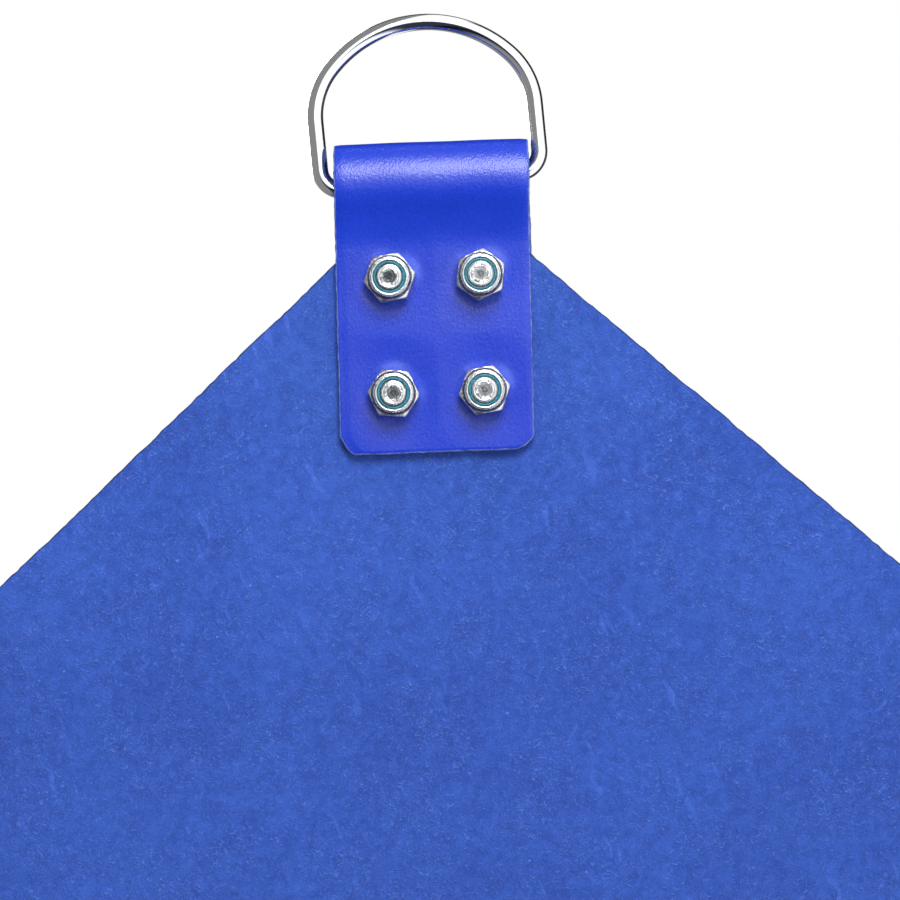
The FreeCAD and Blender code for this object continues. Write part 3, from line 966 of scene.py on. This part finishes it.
def make_nut():
    flat, corner_round, hex_height, height = 5.555 * mm, 6.33 * mm, 5.6 * mm, 7.9 * mm
    rim, slope = 0.975 * flat, math.tan(math.radians(30))
    sector = angles % (math.pi / 3) - math.pi / 6
    hexagon = np.minimum(flat / np.cos(sector), corner_round)
    fall = (hexagon - rim) * slope
    ease = 0.10 * mm
    collar = insert_radius + 0.84 * mm
    # A third value in a row paints it dark: painted shade in the grooves by the hex's edges, under the
    # collar's lip and round the insert.
    rows = [
        (bore, 5.6 * mm), (bore, 0.4 * mm), (bore + 0.4 * mm, 0), (rim - ease, 0), (rim, ease * 0.3),
        (hexagon - ease, fall - ease * slope + 0.02 * mm), (hexagon, fall + ease),
        (hexagon, hex_height - fall - ease, 0.9), (hexagon - ease, hex_height - fall + ease * slope),
        (rim, hex_height - 0.02 * mm), (rim - 0.04 * mm, hex_height - 0.07 * mm, 2),
        (rim - 0.10 * mm, hex_height, 0.5), (collar + 0.12 * mm, hex_height),
        (collar + 0.06 * mm, hex_height - 0.14 * mm, 2), (collar, hex_height - 0.05 * mm, 2),
        (collar, hex_height + 0.2 * mm, 2), (collar, hex_height + 0.4 * mm),
        (collar, 6.7 * mm), (collar - 0.06 * mm, 7.1 * mm, 1.3), (collar - 0.22 * mm, 7.45 * mm, 1.1),
        (collar - 0.48 * mm, 7.72 * mm), (collar - 0.80 * mm, 7.86 * mm), (4.22 * mm, height),
        (4.06 * mm, 7.86 * mm), (3.97 * mm, 7.76 * mm, 1.2), (3.93 * mm, 7.60 * mm, 2),
        (3.95 * mm, 7.40 * mm, 2), (insert_radius, 7.38 * mm, 2), (insert_radius, 5.6 * mm), (bore, 5.6 * mm),
    ]
    return turned("nut", rows, nut_zinc)


def make_insert():
    rows = [
        (bore, 5.65 * mm), (insert_radius - 0.05 * mm, 5.65 * mm), (insert_radius - 0.05 * mm, 7.30 * mm),
        (3.90 * mm, 7.33 * mm), (3.86 * mm, 7.46 * mm), (3.74 * mm, 7.56 * mm), (3.56 * mm, 7.60 * mm),
        (3.38 * mm, 7.54 * mm), (bore + 0.04 * mm, 7.36 * mm), (bore, 7.1 * mm), (bore, 5.65 * mm),
    ]
    return turned("insert", rows, insert_nylon)


def make_bolt():
    """Shank with a sheared dimple in its end, and a low domed head with a cross recess."""
    reach, pitch, head_rim = 15.875 * mm, 0.8 * mm, 0.6 * mm
    dome = head_height - head_rim
    ball = (head_radius**2 + dome**2) / (2 * dome)
    head = []
    for share in np.linspace(0, 1, 26):
        radius = head_radius * share
        head.append((max(radius, 1e-7), ball - head_height - math.sqrt(ball**2 - radius**2)))
    level = 7.6 * mm
    rows = head + [(head_radius, -0.45 * mm), (head_radius - 0.12 * mm, -0.1 * mm),
                   (head_radius - 0.5 * mm, 0), (bolt_radius, 0), (bolt_radius, level)]
    while level < reach - 0.9 * mm:
        rows += [(bolt_radius - 0.18 * mm, level + pitch / 2), (bolt_radius, level + pitch)]
        level += pitch
    # The third values paint the grooves at the end's edge dark, a painted shade.
    top = [(bolt_radius - 0.02 * mm, reach - 0.42 * mm, 2), (bolt_radius - 0.16 * mm, reach - 0.16 * mm, 1),
           (bolt_radius - 0.36 * mm, reach - 0.04 * mm), (bolt_radius - 0.55 * mm, reach),
           (2.42 * mm, reach), (2.34 * mm, reach - 0.05 * mm, 1.4), (2.26 * mm, reach - 0.01 * mm)]
    for share in np.linspace(1, 0, 14):
        bump = rng.normal(0, 0.08 * mm, around // 4).repeat(4) * (share > 0)
        radius = max(1.95 * mm * share, 1e-7)
        # The sheared end is painted darker towards its middle.
        groove_shade_and_dark_end = 1.1 - 1.1 * float(smooth(radius, 1.3 * mm, 1.95 * mm))
        top.append((radius, reach - 0.42 * mm * (1 - share**4) + bump, groove_shade_and_dark_end))
    rows = rows[:-1] + top if rows[-1][1] > reach - 0.42 * mm else rows + top
    return turned("bolt", rows, bolt_zinc)


nut, insert, bolt = make_nut(), make_insert(), make_bolt()
print("nut", len(nut.data.polygons), "insert", len(insert.data.polygons), "bolt", len(bolt.data.polygons))

# %% [markdown]
# The head's cross recess is cut with a boolean, because its flat tapered walls cross the dome's
# rings of faces. One cut on the first bolt does for all twelve.

# %% Cross recess
recess_depth, recess_reach, recess_width = 0.62, 0.45, 0.13


def cut_recess(thing):
    cutter = bmesh.new()
    deep, top = -(1 - recess_depth) * head_height, -head_height - 0.4 * mm
    for turn in (0, math.pi / 2):
        box = bmesh.ops.create_cube(cutter, size=1.0)["verts"]
        for v in box:
            share = 0.5 if v.co.z > 0 else 1.06
            v.co.x *= 2 * recess_reach * head_radius * share
            v.co.y *= 2 * recess_width * head_radius * share
            v.co.z = deep if v.co.z > 0 else top
        bmesh.ops.rotate(cutter, verts=box, cent=(0, 0, 0), matrix=Matrix.Rotation(turn, 3, "Z"))
    mesh = bpy.data.meshes.new("recess")
    cutter.to_mesh(mesh)
    cutter.free()
    tool = bpy.data.objects.new("recess", mesh)
    bpy.context.scene.collection.objects.link(tool)
    modifier = thing.modifiers.new("recess", "BOOLEAN")
    modifier.operation = "DIFFERENCE"
    modifier.solver = "EXACT"
    modifier.use_self = True
    modifier.object = tool
    depsgraph = bpy.context.evaluated_depsgraph_get()
    result = bpy.data.meshes.new_from_object(thing.evaluated_get(depsgraph), depsgraph=depsgraph)
    thing.modifiers.clear()
    thing.data = result
    thing.data.set_sharp_from_angle(angle=math.radians(32))
    bpy.data.objects.remove(tool)


cut_recess(bolt)
print("bolt with its recess:", len(bolt.data.polygons), "faces")

# %% [markdown]
# Twelve seats, four on each strap. A seat is a point with a `seat_turn`, the angles that stand a
# fastener's own axis along the bolt hole and turn it as far as the wrench happened to leave it.

# %% Fasteners on their seats
nut_turns = {"neck": (8, 23, -6, 9), "left": (-9, 17, 4, 26), "right": (14, -2, 21, 7)}
head_turns = {"neck": (31, 74, 12, 55), "left": (68, 5, 40, 22), "right": (17, 49, 83, 28)}
half_stack = strap_thickness + hide_thickness / 2

graph, given, seat_inputs = new_tree("on_seats", {
    "Part": "NodeSocketObject", "Finish": "NodeSocketMaterial"})
part = graph.add("GeometryNodeObjectInfo", {"transform_space": "ORIGINAL"},
                 {"Object": given["Part"]}, output="Geometry")
turn = graph.add("GeometryNodeInputNamedAttribute", {"data_type": "FLOAT_VECTOR"}, {0: "seat_turn"})
turn = graph.add("FunctionNodeEulerToRotation", None, {0: turn})
copies = graph.add("GeometryNodeInstanceOnPoints", None, {
    "Points": given["Geometry"], "Instance": part, "Rotation": turn})
copies = graph.add("GeometryNodeRealizeInstances", None, {0: copies})
copies = graph.add("GeometryNodeSetMaterial", None, {0: copies, "Material": given["Finish"]})
graph.add("NodeGroupOutput", None, {0: copies})
seat_tree = graph


def seat_fasteners(name, part, finish, level, turns, bright=(0, 0, 0, 0)):
    points, angles_of, brights = [], [], []
    for side in hangers:
        for (x, z), turn, lightness in zip(seats, turns[side], bright):
            stand = places[side] @ Matrix.Rotation(math.pi / 2, 4, "X")
            stand = stand @ Matrix.Rotation(math.radians(turn), 4, "Z")
            points.append(places[side] @ Vector((x, level, z)))
            angles_of.append(tuple(stand.to_euler("XYZ")))
            brights.append((lightness, lightness, lightness))
    return grow(name, points, [], seat_tree, seat_inputs, {"Part": part, "Finish": finish},
                {"seat_turn": angles_of, "bright": brights})


lock_nuts = seat_fasteners("lock_nuts", nut, nut_zinc, sink - half_stack, nut_turns)
nylon_inserts = seat_fasteners("nylon_inserts", insert, insert_nylon, sink - half_stack, nut_turns)
truss_bolts = seat_fasteners("truss_bolts", bolt, bolt_zinc, half_stack - sink, head_turns,
                             (0.1, 0.6, 0.2, 0.5))
for master in (nut, insert, bolt):
    bpy.data.objects.remove(master)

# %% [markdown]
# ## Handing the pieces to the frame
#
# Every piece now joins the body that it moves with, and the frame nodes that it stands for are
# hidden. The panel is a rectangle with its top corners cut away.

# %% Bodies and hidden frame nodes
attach(panel, "apron")
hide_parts("apron_panel")
for side in hangers:
    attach(straps[side], "apron")
    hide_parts(f"{side}_tab")
    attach(rings[side], f"{side}_ring")
    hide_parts(f"{side}_ring")
for thing, node, slot in ((lock_nuts, "nut", "nut_zinc"), (nylon_inserts, "insert", "insert_nylon"),
                          (truss_bolts, "bolt", "bolt_zinc")):
    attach(thing, "apron")
    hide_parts(*[f"{side}_{node}_{number}" for side in hangers for number in (1, 2, 3, 4)])
